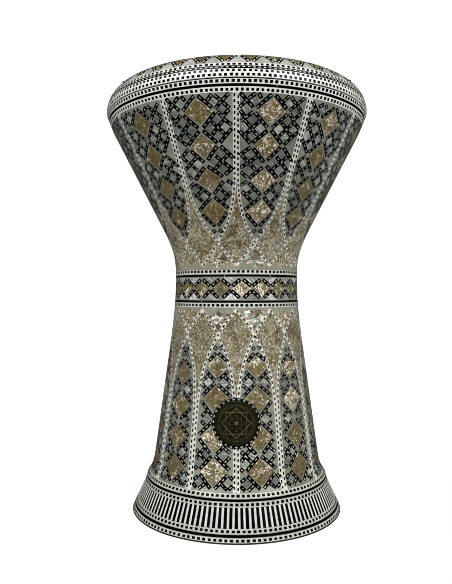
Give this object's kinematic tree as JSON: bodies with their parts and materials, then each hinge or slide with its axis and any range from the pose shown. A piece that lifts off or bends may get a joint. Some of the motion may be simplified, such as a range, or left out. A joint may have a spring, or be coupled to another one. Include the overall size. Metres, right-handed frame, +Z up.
{
  "type": "goblet drum",
  "caption": "Goblet-shaped hand drum: inlaid cast shell flaring to a film head under a rounded clamping ring drawn down by socket screws.",
  "frame": {"origin": "centre of the foot, on the floor the drum stands on", "axes": "+Z up along the drum's axis to the head; -Y towards the medallion; +X to the right of someone facing the medallion"},
  "size_m": [0.283, 0.283, 0.452],
  "materials": {
    "black_paint": "cast aluminium under gloss black paint",
    "strip_white": "cream-white strip with black squares, under clear lacquer",
    "inlay_black": "gloss black strip, under clear lacquer",
    "pearl_grey": "grey mother-of-pearl plates, under clear lacquer",
    "shell_gold": "gold-brown iridescent shell mosaic, under clear lacquer",
    "shell_crushed": "crushed shell in clear resin, under clear lacquer",
    "pearl_white": "white mother-of-pearl plates, under clear lacquer",
    "bronze": "dark antiqued brass with raised relief",
    "film": "translucent white polyester film",
    "aluminium": "turned aluminium",
    "steel": "zinc-plated steel"
  },
  "bodies": {
    "shell": {"shell_casting": "black_paint", "collar_dotted_strip": "strip_white", "collar_black_band": "inlay_black", "bowl_border_strip": "strip_white", "bowl_pearl_panels": "pearl_grey", "bowl_chain_frames": "inlay_black", "bowl_shell_diamonds": "shell_gold", "bowl_rib_strips": "strip_white", "bowl_teardrops": "shell_crushed", "neck_upper_triangles": "shell_gold", "waist_upper_dotted_strip": "strip_white", "waist_upper_black_band": "inlay_black", "waist_pearl_band": "pearl_grey", "waist_chain_frames": "inlay_black", "waist_shell_diamonds": "shell_gold", "waist_lower_black_band": "inlay_black", "waist_lower_dotted_strip": "strip_white", "neck_lower_triangles": "shell_gold", "stem_teardrops": "shell_crushed", "stem_pearl_panels": "pearl_grey", "stem_chain_frames": "inlay_black", "stem_shell_diamonds": "shell_gold", "stem_rib_strips": "strip_white", "stem_border_strip": "strip_white", "bead_black_band": "inlay_black", "flare_upper_dotted_strip": "strip_white", "flare_white_flutes": "strip_white", "flare_black_flutes": "inlay_black", "flare_lower_dotted_strip": "strip_white", "flare_black_band": "inlay_black", "foot_dotted_strip": "strip_white", "medallion_disc": "bronze", "medallion_chain_ring": "inlay_black", "head_film": "film"},
    "clamp_ring": {"flesh_hoop": "aluminium", "clamp_ring_casting": "black_paint", "rim_pearl_band": "pearl_white", "rim_shell_diamonds": "shell_gold", "rim_upper_dotted_strip": "strip_white", "rim_chain_strip": "inlay_black", "rim_lower_dotted_strips": "strip_white", "screw_washers": "steel"},
    "screw_1": {"tension_screw_1": "steel"},
    "screw_2": {"tension_screw_2": "steel"},
    "screw_3": {"tension_screw_3": "steel"},
    "screw_4": {"tension_screw_4": "steel"},
    "screw_5": {"tension_screw_5": "steel"},
    "screw_6": {"tension_screw_6": "steel"}
  },
  "joints": [
    {"name": "head_tension", "type": "slide", "parent": "shell", "child": "clamp_ring", "axis": [0, 0, 1], "range_m": [-0.0005, 0.003]},
    {"name": "screw_1_turn", "type": "hinge", "parent": "clamp_ring", "child": "screw_1", "pos_m": [0.11042, 0.06375, 0.441], "axis": [0, 0, 1], "range_deg": [-181, 1081]},
    {"name": "screw_2_turn", "type": "hinge", "parent": "clamp_ring", "child": "screw_2", "pos_m": [0, 0.1275, 0.441], "axis": [0, 0, 1], "range_deg": [-181, 1081]},
    {"name": "screw_3_turn", "type": "hinge", "parent": "clamp_ring", "child": "screw_3", "pos_m": [-0.11042, 0.06375, 0.441], "axis": [0, 0, 1], "range_deg": [-181, 1081]},
    {"name": "screw_4_turn", "type": "hinge", "parent": "clamp_ring", "child": "screw_4", "pos_m": [-0.11042, -0.06375, 0.441], "axis": [0, 0, 1], "range_deg": [-181, 1081]},
    {"name": "screw_5_turn", "type": "hinge", "parent": "clamp_ring", "child": "screw_5", "pos_m": [0, -0.1275, 0.441], "axis": [0, 0, 1], "range_deg": [-181, 1081]},
    {"name": "screw_6_turn", "type": "hinge", "parent": "clamp_ring", "child": "screw_6", "pos_m": [0.11042, -0.06375, 0.441], "axis": [0, 0, 1], "range_deg": [-181, 1081]}
  ],
  "couplings": [
    {"joint": "screw_1_turn", "follows": "head_tension", "rad_per_m": 6283.2},
    {"joint": "screw_2_turn", "follows": "head_tension", "rad_per_m": 6283.2},
    {"joint": "screw_3_turn", "follows": "head_tension", "rad_per_m": 6283.2},
    {"joint": "screw_4_turn", "follows": "head_tension", "rad_per_m": 6283.2},
    {"joint": "screw_5_turn", "follows": "head_tension", "rad_per_m": 6283.2},
    {"joint": "screw_6_turn", "follows": "head_tension", "rad_per_m": 6283.2}
  ]
}
